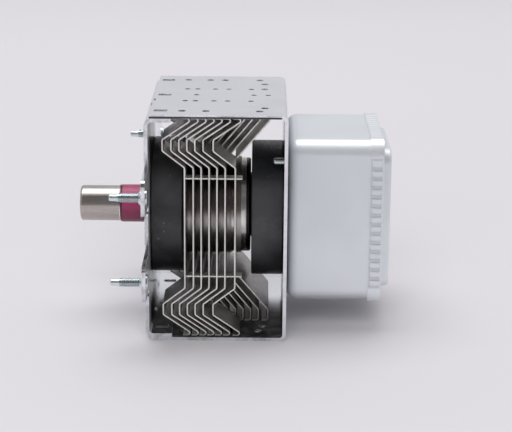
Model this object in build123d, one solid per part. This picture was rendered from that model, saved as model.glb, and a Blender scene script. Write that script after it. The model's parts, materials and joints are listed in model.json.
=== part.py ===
from build123d import *
import os

# A microwave oven magnetron that lies on the flat side of its steel yoke.
# The origin is where the antenna's axis crosses the mounting flange's outer face.
# +X runs from the antenna to the filter box, +Y with the cooling air, +Z up.
# All sizes are in millimetres.

# How far a cutting shape reaches past the sheet that it cuts
CUT_MARGIN = 1.0

# Yoke, one sheet folded to a U
YOKE_HEIGHT = 95.0
YOKE_DEPTH = 80.0
YOKE_SHEET = 1.4
YOKE_BEND = 1.4
YOKE_SETBACK = 2.2

# Mounting flange, one folded sheet with four ears
FLANGE_SHEET = 1.6
FLANGE_BEND = 1.6
FLANGE_LIP = 11.0
EAR_HEIGHT = 15.4
EAR_REACH = 19.5
EAR_CORNER = 2.5
RELIEF_WIDTH = 3.2
RELIEF_DEPTH = 2.0

# Clinched joints between the yoke and the flange's lips
CLINCH_LENGTH = 5.4
CLINCH_WIDTH = 3.8
CLINCH_DEPTH = 0.6
CLINCH_X = 6.4
CLINCH_SPACING = 31.0
CLINCH_GAP = 0.05

# Studs
STUD_SPACING_Y = 110.0
STUD_SPACING_Z = 35.0
STUD_RADIUS = 2.0
STUD_LENGTH = 12.7
STUD_POINT_RADIUS = 1.35
STUD_POINT_LENGTH = 3.2
STUD_POINT_STEP = 0.5
STUD_SHANK_RADIUS = 2.3
STUD_HEAD_RADIUS = 3.3
STUD_HEAD_HEIGHT = 0.8
STUD_HOLE_GAP = 0.05

# Holes in the yoke's two side walls, by their place along X and from the middle along Y
WIDE_HOLE_RADIUS = 1.55
FINE_HOLE_RADIUS = 1.2
EDGE_ROW_INSET = 8.5
EDGE_HOLES_FAR = (15.0, 24.6, 31.1, 46.2)
EDGE_HOLES_NEAR = (15.0, 24.6, 46.2)
FINE_ROW_Y = 12.0
FINE_HOLES_X = (15.4, 19.7, 27.3, 33.0, 42.6)
MIDDLE_HOLES_X = (19.7, 43.8, 49.8)
CORNER_HOLES_X = 48.3
CORNER_HOLES_Y = (23.0, 12.4, -25.5)

# Notch through the joint of yoke and flange
NOTCH_Y = -10.0
NOTCH_WIDTH = 3.6
NOTCH_START = 1.0
NOTCH_END = 3.1
NOTCH_DEPTH = 3.5

# Magnets
MAGNET_RADIUS = 28.7
MAGNET_BORE_GAP = 1.3
MAGNET_THICKNESS = 13.2
MAGNET_EDGE = 0.4
INPUT_MAGNET_DROP = 1.2

# Vacuum tube, from one magnet to the other
TUBE_LENGTH = 28.4
ANODE_RADIUS = 20.0
ANODE_WALL = 3.0
RIM_DEPTH = 1.65
RIM_GAP = 0.45
RIM_BEVEL = 0.6
SEAL_SHEET = 0.45
SEAL_SHOULDER_RADIUS = 13.7
NECK_RADIUS = 9.7
POLE_SHEET = 1.2
POLE_CONE_RADIUS = 13.6
POLE_CONE_DEPTH = 5.4
POLE_TIP_RADIUS = 6.6
POLE_BORE = 4.7
POLE_RIM_GAP = 0.05

# Vanes and straps
VANE_COUNT = 10
VANE_LENGTH = 9.6
VANE_SHEET = 1.9
VANE_TIP_RADIUS = 4.5
STRAP_SHEET = 1.0
STRAP_WIDTH = 1.0
INNER_STRAP_RADIUS = 6.4
OUTER_STRAP_RADIUS = 8.4
STRAP_SIDE_GAP = 0.35
STRAP_DROP = 0.6

# Cathode
FILAMENT_RADIUS = 1.9
FILAMENT_WIRE = 0.5
FILAMENT_PITCH = 1.2
HAT_RADIUS = 3.7
HAT_SHEET = 1.2
LEAD_RADIUS = 0.7
SIDE_LEAD_OFFSET = 2.8
LEAD_GAP = 0.15
HAT_HOLE_GAP = 0.45

# Output end
ANTENNA_HEIGHT = 29.7
CAP_RADIUS = 7.5
CAP_SHEET = 0.5
CAP_LENGTH = 16.7
CAP_EDGE = 1.1
CAP_DISH_RADIUS = 4.6
CAP_DISH_DEPTH = 0.5
COLLAR_RADIUS = 7.9
COLLAR_SHEET = 0.4
CERAMIC_RADIUS = 8.0
CERAMIC_BORE = 5.2
CERAMIC_CHAMFER = 0.5
OUTPUT_NECK_REACH = 1.2
NECK_LIP_RADIUS = 7.2
EXHAUST_RADIUS = 3.2
EXHAUST_SHEET = 0.6
PINCH_WIDTH = 8.4
PINCH_SHEET = 2.9
PINCH_LENGTH = 4.0
ANTENNA_LEAD_RADIUS = 1.1
ANTENNA_LEAD_OFFSET = 9.6
ANTENNA_LEAD_BEND = 5.0
ANTENNA_HOLE_GAP = 0.9
FLANGE_HOLE_GAP = 0.4
GASKET_RADIUS = 13.6
GASKET_HEIGHT = 2.2
GASKET_GAP = 0.3
GASKET_BEVEL = 0.7

# Input end
INPUT_NECK_REACH = 3.0
STEM_RADIUS = 8.8
STEM_LENGTH = 8.0
STEM_NOSE_RADIUS = 6.4
STEM_NOSE_LENGTH = 2.0
STEM_TERMINAL_SHEET = 0.8
STEM_TERMINAL_WIDTH = 4.0
STEM_TERMINAL_HEIGHT = 7.0
STEM_TERMINAL_FOOT = 5.0
BASE_HOLE_GAP = 0.6

# Cooling fins, each one folded sheet
FIN_SHEET = 0.6
FIN_DEPTH = 76.0
FIN_START = 1.4
FIN_PITCHES = (3.5, 3.2, 3.2, 3.2, 3.3, 4.05)
FIN_LAST_TAB = 2.9
FIN_BORE_GAP = 0.05
FIN_COLLAR_SHEET = 0.5
FIN_COLLAR_LENGTH = 2.2
FIN_SLIT = 1.0
FIN_SIDE_STRIP = 18.0
FIN_BEND = 0.6
FIN_SLIT_FOOT = 23.4
SIDE_BEND_START = 25.5
SIDE_BEND_DROP = 13.7
SIDE_OFFSET = 8.9
SIDE_RISE_DROP = 9.1
SIDE_HOOK_REACH = 4.0
SIDE_HOOK_LIP = 0.8
MIDDLE_BEND_START = 24.6
MIDDLE_OFFSET = 13.8
MIDDLE_BEND_DROP = 5.1
MIDDLE_LIP = 2.6
TAB_HEIGHT = 20.7
TAB_WIDTH = 5.0
TAB_INSET = 1.2
TAB_WINDOW = 2.6

# Filter box, a drawn can with a crimped lid
BOX_DEPTH = 57.6
BOX_HEIGHT = 69.0
BOX_LENGTH = 38.8
BOX_SHEET = 0.7
BOX_CORNER = 6.2
BOX_EDGE = 3.6
LID_SHEET = 0.5
LID_GAP = 0.05
LID_SKIRT = 5.3
LID_PANEL_INSET = 4.4
LID_PANEL_HEIGHT = 3.6
LID_PANEL_CORNER = 6.0
LID_PANEL_DRAFT = 12.0
LID_PANEL_EDGE = 1.2
RIB_PITCH = 3.9
RIB_WIDTH = 2.7
RIB_HEIGHT = 0.6
RIB_MARGIN = 0.45
RIB_END_INSET = 1.5

# Rivets between the box and the yoke's base
RIVET_RADIUS = 1.35
RIVET_TAIL = 4.5
RIVET_TAIL_EDGE = 1.1
RIVET_HEAD_RADIUS = 2.1
RIVET_HEAD_HEIGHT = 0.9
RIVET_INSET_Y = 5.8
RIVET_INSET_Z = 9.7
RIVET_HOLE_GAP = 0.05

# Feed-through capacitor in the box's far wall
CAPACITOR_X = 20.2
CAPACITOR_WIDTH = 13.0
CAPACITOR_HEIGHT = 27.0
CAPACITOR_INSIDE = 9.0
CAPACITOR_OUTSIDE = 9.0
CAPACITOR_CORNER = 3.0
CAPACITOR_GAP = 0.2
CAPACITOR_PLATE_WIDTH = 20.0
CAPACITOR_PLATE_HEIGHT = 42.0
CAPACITOR_PLATE_SHEET = 1.0
CAPACITOR_RIVET_SPACING = 34.0
CAPACITOR_WELL_DEPTH = 5.0
CAPACITOR_WELL_WALL = 1.4
BLADE_WIDTH = 6.3
BLADE_SHEET = 0.8
BLADE_OUTSIDE = 8.0
BLADE_INSIDE = 4.0
BLADE_SPACING = 12.0
BLADE_TIP_BEVEL = 1.2
BLADE_HOLE_RADIUS = 0.8
BLADE_HOLE_INSET = 3.4

# Choke coils inside the box
COIL_WIRE = 1.4
COIL_PITCH = 1.6
COIL_TURNS = 12
CORE_RADIUS = 2.4
CORE_LENGTH = 24.0
COIL_GAP = 0.05
COIL_HEIGHT = 17.0
COIL_MIDDLE_Y = -4.0

# Places along X, from the flange's outer face
magnet_output_x = FLANGE_SHEET
tube_start = magnet_output_x + MAGNET_THICKNESS
tube_end = tube_start + TUBE_LENGTH
base_inner = tube_end + MAGNET_THICKNESS
base_outer = base_inner + YOKE_SHEET
rim_length = RIM_DEPTH + RIM_GAP
anode_start = tube_start + rim_length
anode_end = tube_end - rim_length
anode_middle = (anode_start + anode_end) / 2
box_mouth = base_outer + BOX_LENGTH
lid_face = box_mouth + LID_SHEET
capacitor_x = base_outer + CAPACITOR_X

# Heights and radii that several pieces share
yoke_top = YOKE_HEIGHT / 2
wall_inner = yoke_top - YOKE_SHEET
half_depth = YOKE_DEPTH / 2
anode_bore = ANODE_RADIUS - ANODE_WALL
box_far = BOX_DEPTH / 2
blade_inner_end = box_far - CAPACITOR_INSIDE - BLADE_INSIDE
output_neck_length = anode_start + OUTPUT_NECK_REACH
input_neck_length = base_outer + INPUT_NECK_REACH - anode_end
stem_start = base_outer + INPUT_NECK_REACH
stem_end = stem_start + STEM_LENGTH
neck_hole = NECK_RADIUS + FLANGE_HOLE_GAP
base_hole = NECK_RADIUS + BASE_HOLE_GAP
rivet_y = box_far - RIVET_INSET_Y
rivet_z = BOX_HEIGHT / 2 - RIVET_INSET_Z
rivet_places = Locations((-rivet_y, rivet_z), (rivet_y, -rivet_z))
stud_places = GridLocations(STUD_SPACING_Y, STUD_SPACING_Z, 2, 2)
half_rivets = CAPACITOR_RIVET_SPACING / 2
capacitor_rivet_places = Locations((capacitor_x, half_rivets), (capacitor_x, -half_rivets))


def across(x):
    """Plane across the antenna's axis at x, with Y to its right and Z up."""
    return Plane.YZ.offset(x)


def pattern(places, section):
    """The same flat section at every place, as one sketch."""
    return Sketch() + [place * section for place in places]


def folded_sheet(corners, bend, sheet, low_y, high_y):
    """Sheet bent along a centre line of (x, z) corners, from low_y to high_y."""
    line = FilletPolyline(*corners, radius=bend + sheet / 2)
    section = trace(line, sheet)
    return extrude(Plane.XZ.offset(-high_y) * section, amount=high_y - low_y)


def turned(outline, worked_corners=(), work=chamfer):
    """Solid turned about the X axis from (x, radius) corners, some of them bevelled or rounded."""
    face = make_face(Polyline(*outline, close=True))
    for corner, size in worked_corners:
        face = work(face.vertices().sort_by_distance(corner)[0], size)
    return revolve(face, Axis.X)


def washer(x, length, outer, inner):
    """Plain ring about the antenna's axis."""
    return extrude(across(x) * (Circle(outer) - Circle(inner)), amount=length)


def rod(x, length, radius, y=0.0, z=0.0):
    """Plain round bar along X."""
    return extrude(across(x) * Pos(y, z) * Circle(radius), amount=length)


def clinch_blocks(z, grow):
    """Blocks of the clinched joints in both walls, from height z outwards by one joint depth."""
    places = GridLocations(0, CLINCH_SPACING, 1, 3)
    block = Box(
        CLINCH_LENGTH + 2 * grow,
        CLINCH_WIDTH + 2 * grow,
        CLINCH_DEPTH,
        align=(Align.CENTER, Align.CENTER, Align.MIN),
    )
    upper = [Pos(CLINCH_X, 0, z) * place * block for place in places]
    return upper + [Rot(X=180) * block for block in upper]


def notch_blocks():
    """Blocks that cut the notch at the top and the bottom joint of yoke and flange."""
    block = Box(NOTCH_END - NOTCH_START, NOTCH_WIDTH, 2 * NOTCH_DEPTH)
    middle_x = (NOTCH_START + NOTCH_END) / 2
    return [Pos(middle_x, NOTCH_Y, side * yoke_top) * block for side in (-1, 1)]


def make_yoke_frame():
    """U of sheet steel with vent holes, clinched joints and the tube's hole in its base."""
    wall_middle = yoke_top - YOKE_SHEET / 2
    base_middle = base_outer - YOKE_SHEET / 2
    corners = [
        (YOKE_SETBACK, wall_middle),
        (base_middle, wall_middle),
        (base_middle, -wall_middle),
        (YOKE_SETBACK, -wall_middle),
    ]
    yoke = folded_sheet(corners, YOKE_BEND, YOKE_SHEET, -half_depth, half_depth)
    edge_row = half_depth - EDGE_ROW_INSET
    wide = [(x, edge_row) for x in EDGE_HOLES_FAR]
    wide += [(x, -edge_row) for x in EDGE_HOLES_NEAR]
    wide += [(CORNER_HOLES_X, y) for y in CORNER_HOLES_Y]
    fine = [(x, side * FINE_ROW_Y) for x in FINE_HOLES_X for side in (1, -1)]
    fine += [(x, 0.0) for x in MIDDLE_HOLES_X]
    yoke -= Locations(*wide) * Cylinder(WIDE_HOLE_RADIUS, 2 * YOKE_HEIGHT)
    yoke -= Locations(*fine) * Cylinder(FINE_HOLE_RADIUS, 2 * YOKE_HEIGHT)
    yoke -= notch_blocks()
    base_cut = YOKE_SHEET + 2 * CUT_MARGIN
    yoke -= rod(base_inner - CUT_MARGIN, base_cut, base_hole)
    rivet_hole = Circle(RIVET_RADIUS + RIVET_HOLE_GAP)
    rivet_holes = across(base_inner - CUT_MARGIN) * pattern(rivet_places, rivet_hole)
    yoke -= extrude(rivet_holes, amount=base_cut)
    yoke += clinch_blocks(wall_inner - CLINCH_DEPTH, 0.0)
    return yoke - clinch_blocks(yoke_top - CLINCH_DEPTH, 0.0)


def make_mounting_flange():
    """Folded plate with four ears, whose lips lie inside the yoke's side walls."""
    lip_middle = wall_inner - FLANGE_SHEET / 2
    plate_middle = FLANGE_SHEET / 2
    corners = [
        (FLANGE_LIP, lip_middle),
        (plate_middle, lip_middle),
        (plate_middle, -lip_middle),
        (FLANGE_LIP, -lip_middle),
    ]
    flange = folded_sheet(corners, FLANGE_BEND, FLANGE_SHEET, -half_depth, half_depth)
    ear_bar = RectangleRounded(YOKE_DEPTH + 2 * EAR_REACH, EAR_HEIGHT, EAR_CORNER)
    rows = GridLocations(0, STUD_SPACING_Z, 1, 2)
    flange += extrude(across(0) * pattern(rows, ear_bar), amount=FLANGE_SHEET)
    relief = Rectangle(2 * RELIEF_DEPTH, RELIEF_WIDTH)
    reliefs = pattern(GridLocations(YOKE_DEPTH, EAR_HEIGHT + RELIEF_WIDTH, 2, 2), relief)
    plate_cut = FLANGE_SHEET + 2 * CUT_MARGIN
    flange -= extrude(across(-CUT_MARGIN) * pattern(rows, reliefs), amount=plate_cut)
    flange -= rod(-CUT_MARGIN, plate_cut, neck_hole)
    stud_hole = Circle(STUD_SHANK_RADIUS + STUD_HOLE_GAP)
    flange -= extrude(across(-CUT_MARGIN) * pattern(stud_places, stud_hole), amount=plate_cut)
    flange -= notch_blocks()
    flange += clinch_blocks(wall_inner - FLANGE_SHEET - CLINCH_DEPTH, 0.0)
    return flange - clinch_blocks(wall_inner - CLINCH_DEPTH, CLINCH_GAP)


def make_mounting_studs():
    """Four studs with pilot points, pressed into the ears by a thicker shank."""
    head = FLANGE_SHEET + STUD_HEAD_HEIGHT
    outline = [
        (head, 0),
        (head, STUD_HEAD_RADIUS),
        (FLANGE_SHEET, STUD_HEAD_RADIUS),
        (FLANGE_SHEET, STUD_SHANK_RADIUS),
        (0, STUD_SHANK_RADIUS),
        (0, STUD_RADIUS),
        (STUD_POINT_LENGTH - STUD_LENGTH, STUD_RADIUS),
        (STUD_POINT_LENGTH - STUD_LENGTH - STUD_POINT_STEP, STUD_POINT_RADIUS),
        (-STUD_LENGTH, STUD_POINT_RADIUS),
        (-STUD_LENGTH, 0),
    ]
    stud = turned(outline)
    return [Pos(0, place.position.X, place.position.Y) * stud for place in stud_places]


def make_magnet(x, drop):
    """Ferrite ring with bevelled edges, a drop below the tube's axis."""
    ring = washer(x, MAGNET_THICKNESS, MAGNET_RADIUS, NECK_RADIUS + MAGNET_BORE_GAP)
    return Pos(0, 0, -drop) * chamfer(ring.edges().filter_by(GeomType.CIRCLE), MAGNET_EDGE)


def make_anode_cylinder():
    """Thick copper tube that the fins grip."""
    return washer(anode_start, anode_end - anode_start, ANODE_RADIUS, anode_bore)


def make_vane(index):
    """One copper vane, notched at both ends so that it meets only one strap of each pair."""
    vane = Pos(anode_middle, 0, anode_bore / 2) * Box(VANE_LENGTH, VANE_SHEET, anode_bore)
    vane &= washer(anode_start, anode_end - anode_start, anode_bore, VANE_TIP_RADIUS)
    for strap, radius in enumerate((INNER_STRAP_RADIUS, OUTER_STRAP_RADIUS)):
        touches = index % 2 == strap
        depth = STRAP_SHEET if touches else STRAP_SHEET + STRAP_DROP
        notch = Box(2 * depth, 2 * VANE_SHEET, STRAP_WIDTH + 2 * STRAP_SIDE_GAP)
        for end in (-1, 1):
            vane -= Pos(anode_middle + end * VANE_LENGTH / 2, 0, radius) * notch
    return Rot(X=360 / VANE_COUNT * index) * vane


def make_strap(end, radius):
    """Copper ring that ties every other vane together."""
    x = anode_middle + end * (VANE_LENGTH - STRAP_SHEET) / 2 - STRAP_SHEET / 2
    return washer(x, STRAP_SHEET, radius + STRAP_WIDTH / 2, radius - STRAP_WIDTH / 2)


def tube_end_piece(outline, end, bevels=()):
    """Turned piece drawn outwards from the anode's end face, for either end of the tube."""
    face_x = anode_end if end > 0 else anode_start
    placed = [(face_x + end * s, r) for s, r in outline]
    corners = [((face_x + end * s, r), size) for (s, r), size in bevels]
    return turned(placed, corners)


def make_pole_piece(end):
    """Soft iron funnel that closes one end of the anode."""
    rim = ANODE_RADIUS - SEAL_SHEET - POLE_RIM_GAP
    seat = RIM_DEPTH - SEAL_SHEET
    outline = [
        (seat, rim),
        (seat, POLE_CONE_RADIUS - POLE_SHEET),
        (POLE_SHEET - POLE_CONE_DEPTH, POLE_TIP_RADIUS - POLE_SHEET / 2),
        (POLE_SHEET - POLE_CONE_DEPTH, POLE_BORE),
        (-POLE_CONE_DEPTH, POLE_BORE),
        (-POLE_CONE_DEPTH, POLE_TIP_RADIUS),
        (0, POLE_CONE_RADIUS),
        (0, rim),
    ]
    pole = tube_end_piece(outline, end)
    if end < 0:
        lead_hole = ANTENNA_LEAD_RADIUS + ANTENNA_HOLE_GAP
        pole -= rod(tube_start, POLE_CONE_DEPTH + rim_length, lead_hole, z=ANTENNA_LEAD_OFFSET)
    return pole


def make_seal(end, neck_length):
    """Drawn metal cup over the pole piece, whose neck runs through the magnet."""
    inner_neck = NECK_RADIUS - SEAL_SHEET
    inner_rim = ANODE_RADIUS - SEAL_SHEET
    inner_shoulder = SEAL_SHOULDER_RADIUS - SEAL_SHEET
    outline = [
        (0, ANODE_RADIUS),
        (RIM_DEPTH, ANODE_RADIUS),
        (RIM_DEPTH, SEAL_SHOULDER_RADIUS),
        (rim_length, SEAL_SHOULDER_RADIUS),
        (rim_length, NECK_RADIUS),
        (neck_length, NECK_RADIUS),
        (neck_length, NECK_LIP_RADIUS),
        (neck_length - SEAL_SHEET, NECK_LIP_RADIUS),
        (neck_length - SEAL_SHEET, inner_neck),
        (rim_length - SEAL_SHEET, inner_neck),
        (rim_length - SEAL_SHEET, inner_shoulder),
        (RIM_DEPTH - SEAL_SHEET, inner_shoulder),
        (RIM_DEPTH - SEAL_SHEET, inner_rim),
        (0, inner_rim),
    ]
    bevels = [((RIM_DEPTH, ANODE_RADIUS), RIM_BEVEL), ((neck_length, NECK_RADIUS), SEAL_SHEET)]
    return tube_end_piece(outline, end, bevels)


def make_output_ceramic():
    """Short tube of pink alumina between the seal's neck and the collar."""
    start = CAP_LENGTH + COLLAR_SHEET - ANTENNA_HEIGHT
    ceramic = washer(start, -OUTPUT_NECK_REACH - start, CERAMIC_RADIUS, CERAMIC_BORE)
    outer_edges = ceramic.edges().filter_by(GeomType.CIRCLE).group_by(SortBy.RADIUS)[-1]
    return chamfer(outer_edges, CERAMIC_CHAMFER)


def make_antenna_cap():
    """Drawn cap with a rounded, dished end."""
    tip = -ANTENNA_HEIGHT
    mouth = tip + CAP_LENGTH
    outline = [
        (mouth, CAP_RADIUS),
        (tip, CAP_RADIUS),
        (tip, CAP_DISH_RADIUS),
        (tip + CAP_DISH_DEPTH, CAP_DISH_RADIUS - CAP_DISH_DEPTH),
        (tip + CAP_DISH_DEPTH, 0),
        (tip + CAP_DISH_DEPTH + CAP_SHEET, 0),
        (tip + CAP_DISH_DEPTH + CAP_SHEET, CAP_RADIUS - CAP_SHEET),
        (mouth, CAP_RADIUS - CAP_SHEET),
    ]
    return turned(outline, [((tip, CAP_RADIUS), CAP_EDGE)], fillet)


def make_exhaust_tube():
    """Collar on the ceramic with the copper tube, pinched shut round the antenna lead."""
    collar = CAP_LENGTH - ANTENNA_HEIGHT
    pinch_start = -ANTENNA_HEIGHT + CAP_DISH_DEPTH + CAP_SHEET + PINCH_LENGTH + PINCH_SHEET
    outline = [
        (collar + COLLAR_SHEET, COLLAR_RADIUS),
        (collar, COLLAR_RADIUS),
        (collar, EXHAUST_RADIUS),
        (pinch_start, EXHAUST_RADIUS),
        (pinch_start, EXHAUST_RADIUS - EXHAUST_SHEET),
        (collar + COLLAR_SHEET, EXHAUST_RADIUS - EXHAUST_SHEET),
    ]
    tube = turned(outline)
    round_end = across(pinch_start) * Circle(EXHAUST_RADIUS)
    flat_end = across(pinch_start - PINCH_SHEET) * Rectangle(PINCH_WIDTH, PINCH_SHEET)
    tube += loft([flat_end.face(), round_end.face()])
    tube += extrude(flat_end, amount=-PINCH_LENGTH)
    return tube - rod(pinch_start - PINCH_SHEET, 2 * PINCH_SHEET, ANTENNA_LEAD_RADIUS)


def make_antenna_lead():
    """Copper rod from one vane, through the pole piece and up the exhaust tube."""
    pinch_start = -ANTENNA_HEIGHT + CAP_DISH_DEPTH + CAP_SHEET + PINCH_LENGTH + PINCH_SHEET
    vane_end = anode_middle - VANE_LENGTH / 2
    path = FilletPolyline(
        (vane_end, 0, ANTENNA_LEAD_OFFSET),
        (anode_start + POLE_SHEET, 0, ANTENNA_LEAD_OFFSET),
        (tube_start - MAGNET_THICKNESS / 2, 0, 0),
        (pinch_start - PINCH_SHEET, 0, 0),
        radius=ANTENNA_LEAD_BEND,
    )
    start = Plane(origin=path @ 0, z_dir=path % 0)
    return sweep(start * Circle(ANTENNA_LEAD_RADIUS), path=path)


def make_filament():
    """Coiled heater wire between the two end hats."""
    length = VANE_LENGTH
    coil = wound_sleeve(length, FILAMENT_PITCH, FILAMENT_RADIUS - FILAMENT_WIRE, FILAMENT_WIRE)
    return Pos(anode_middle - length / 2, 0, 0) * coil


def make_end_hat(end):
    """Round plate that holds one end of the filament."""
    near = VANE_LENGTH / 2 + FILAMENT_WIRE / 2
    if end < 0:
        return washer(anode_middle - near - HAT_SHEET, HAT_SHEET, HAT_RADIUS, LEAD_RADIUS)
    hat = washer(anode_middle + near, HAT_SHEET, HAT_RADIUS, LEAD_RADIUS + HAT_HOLE_GAP)
    return hat - rod(anode_middle + near + HAT_SHEET / 2, HAT_SHEET, LEAD_RADIUS, z=-SIDE_LEAD_OFFSET)


def make_centre_lead():
    """Rod along the axis that carries the far end hat."""
    start = anode_middle - VANE_LENGTH / 2 - FILAMENT_WIRE / 2 - HAT_SHEET
    return rod(start, stem_end + STEM_TERMINAL_SHEET - start, LEAD_RADIUS)


def make_side_lead():
    """Rod beside the axis that carries the near end hat."""
    start = anode_middle + VANE_LENGTH / 2 + FILAMENT_WIRE / 2 + HAT_SHEET / 2
    return rod(start, stem_end + STEM_TERMINAL_SHEET - start, LEAD_RADIUS, z=-SIDE_LEAD_OFFSET)


def make_stem_ceramic():
    """Ceramic plug that brings the two leads out of the vacuum."""
    outline = [
        (stem_start, 0),
        (stem_start, STEM_RADIUS),
        (stem_end - STEM_NOSE_LENGTH, STEM_RADIUS),
        (stem_end - STEM_NOSE_LENGTH, STEM_NOSE_RADIUS),
        (stem_end, STEM_NOSE_RADIUS),
        (stem_end, 0),
    ]
    stem = turned(outline)
    for offset in (0, -SIDE_LEAD_OFFSET):
        bore_length = STEM_LENGTH + 2 * CUT_MARGIN
        stem -= rod(stem_start - CUT_MARGIN, bore_length, LEAD_RADIUS + LEAD_GAP, z=offset)
    return stem


def stem_terminal_places(side):
    """Heights of a terminal's lead and of its foot's inner end."""
    lead_z = 0 if side > 0 else -SIDE_LEAD_OFFSET
    return lead_z, lead_z - side * (LEAD_RADIUS + LEAD_GAP)


def stem_tab_height(side):
    """Height of the middle of a terminal's tab."""
    foot_start = stem_terminal_places(side)[1]
    return foot_start + side * (STEM_TERMINAL_FOOT - STEM_TERMINAL_SHEET / 2)


def make_stem_terminal(side):
    """Angle plate on the stem that joins one lead to its choke coil."""
    lead_z, foot_start = stem_terminal_places(side)
    foot = Pos(stem_end, 0, foot_start + side * STEM_TERMINAL_FOOT / 2) * Box(
        STEM_TERMINAL_SHEET,
        STEM_TERMINAL_WIDTH,
        STEM_TERMINAL_FOOT,
        align=(Align.MIN, Align.CENTER, Align.CENTER),
    )
    tab = Pos(stem_end, 0, stem_tab_height(side)) * Box(
        STEM_TERMINAL_HEIGHT,
        STEM_TERMINAL_WIDTH,
        STEM_TERMINAL_SHEET,
        align=(Align.MIN, Align.CENTER, Align.CENTER),
    )
    hole_length = STEM_TERMINAL_SHEET + 2 * CUT_MARGIN
    return foot + tab - rod(stem_end - CUT_MARGIN, hole_length, LEAD_RADIUS, z=lead_z)


def make_rf_gasket():
    """Ring of knitted wire that seals the output to a waveguide."""
    inner = NECK_RADIUS + GASKET_GAP
    ring = washer(-GASKET_HEIGHT, GASKET_HEIGHT, GASKET_RADIUS, inner)
    outer_face = ring.edges().filter_by(GeomType.CIRCLE).group_by(Axis.X)[0]
    return chamfer(outer_face, GASKET_BEVEL)


def fin_strip(corners, low_y, high_y):
    """One fin strip of both ends, bent along (offset, height) corners and mirrored below."""
    strip = folded_sheet(corners, FIN_BEND, FIN_SHEET, low_y, high_y)
    return [strip, mirror(strip, Plane.XY)]


def make_cooling_fin(x, tab_length):
    """Folded fin: a flat middle with a collar, three strips above and three below."""
    seat = wall_inner - FIN_SHEET / 2
    half = FIN_DEPTH / 2
    side_corners = [
        (0, FIN_SLIT_FOOT),
        (0, SIDE_BEND_START),
        (-SIDE_OFFSET, wall_inner - SIDE_BEND_DROP),
        (-SIDE_OFFSET, wall_inner - SIDE_RISE_DROP),
        (SIDE_HOOK_REACH, seat),
        (-SIDE_HOOK_LIP, seat),
    ]
    middle_corners = [
        (0, FIN_SLIT_FOOT),
        (0, MIDDLE_BEND_START),
        (MIDDLE_OFFSET, wall_inner - MIDDLE_BEND_DROP),
        (MIDDLE_OFFSET, seat),
        (MIDDLE_OFFSET - MIDDLE_LIP, seat),
    ]
    inner_edge = half - FIN_SIDE_STRIP
    middle_edge = inner_edge - FIN_SLIT
    fin = Box(FIN_SHEET, FIN_DEPTH, 2 * FIN_SLIT_FOOT)
    fin += fin_strip(side_corners, -half, -inner_edge)
    fin += fin_strip(side_corners, inner_edge, half)
    fin += fin_strip(middle_corners, -middle_edge, middle_edge)
    bore = ANODE_RADIUS + FIN_BORE_GAP
    fin += washer(0, FIN_COLLAR_LENGTH, bore + FIN_COLLAR_SHEET, bore - CUT_MARGIN)
    fin -= rod(-FIN_SHEET, FIN_COLLAR_LENGTH + 2 * FIN_SHEET, bore)
    tab_y = half - TAB_INSET - TAB_WIDTH / 2
    for y in (-tab_y, tab_y):
        for side in (-1, 1):
            window_z = side * (TAB_HEIGHT + FIN_SHEET / 2 + TAB_WINDOW / 2)
            fin -= Pos(0, y, window_z) * Box(2 * FIN_SHEET, TAB_WIDTH, TAB_WINDOW)
            fin += Pos(tab_length / 2, y, side * TAB_HEIGHT) * Box(tab_length, TAB_WIDTH, FIN_SHEET)
    return Pos(x, 0, 0) * fin


def rounded_block(x, length, depth, height, corner):
    """Block along X with rounded long edges."""
    return extrude(across(x) * RectangleRounded(depth, height, corner), amount=length)


def make_filter_box():
    """Drawn can, open towards +X, with holes for the stem, the rivets and the capacitor."""
    outer = rounded_block(base_outer, BOX_LENGTH, BOX_DEPTH, BOX_HEIGHT, BOX_CORNER)
    outer = fillet(outer.faces().sort_by(Axis.X)[0].edges(), BOX_EDGE)
    inner = rounded_block(
        base_outer + BOX_SHEET,
        BOX_LENGTH,
        BOX_DEPTH - 2 * BOX_SHEET,
        BOX_HEIGHT - 2 * BOX_SHEET,
        BOX_CORNER - BOX_SHEET,
    )
    inner = fillet(inner.faces().sort_by(Axis.X)[0].edges(), BOX_EDGE - BOX_SHEET)
    box = outer - inner
    floor_cut = BOX_SHEET + 2 * CUT_MARGIN
    box -= rod(base_outer - CUT_MARGIN, floor_cut, base_hole)
    rivet_hole = Circle(RIVET_RADIUS + RIVET_HOLE_GAP)
    rivet_holes = across(base_outer - CUT_MARGIN) * pattern(rivet_places, rivet_hole)
    box -= extrude(rivet_holes, amount=floor_cut)
    box -= capacitor_block(box_far - BOX_SHEET - CUT_MARGIN, box_far + CUT_MARGIN, CAPACITOR_GAP)
    return box - capacitor_rivet_bars(RIVET_RADIUS + RIVET_HOLE_GAP)


def capacitor_block(low_y, high_y, grow):
    """Rounded block of the capacitor's section, from low_y to high_y."""
    section = RectangleRounded(CAPACITOR_WIDTH + 2 * grow, CAPACITOR_HEIGHT + 2 * grow, CAPACITOR_CORNER)
    plane = Plane.XZ.offset(-high_y)
    return extrude(plane * Pos(capacitor_x, 0) * section, amount=high_y - low_y)


def capacitor_rivet_bars(radius):
    """Bars along Y through the box's wall and the capacitor's plate."""
    low = box_far - BOX_SHEET
    plane = Plane.XZ.offset(-box_far - CAPACITOR_PLATE_SHEET)
    bars = pattern(capacitor_rivet_places, Circle(radius))
    return extrude(plane * bars, amount=box_far + CAPACITOR_PLATE_SHEET - low)


def rib_places(skirt_depth, skirt_height):
    """Y, Z and turn of each crimp rib on the straight runs of the lid's skirt."""
    places = []
    for turn, run, reach in ((0, skirt_height, skirt_depth / 2), (90, skirt_depth, skirt_height / 2)):
        straight = run - 2 * (BOX_CORNER + LID_SHEET + RIB_END_INSET)
        count = int((straight - RIB_WIDTH) / RIB_PITCH) + 1
        for step in range(count):
            along = (step - (count - 1) / 2) * RIB_PITCH
            places.append((turn, reach, along))
            places.append((turn + 180, reach, along))
    return places


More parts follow.
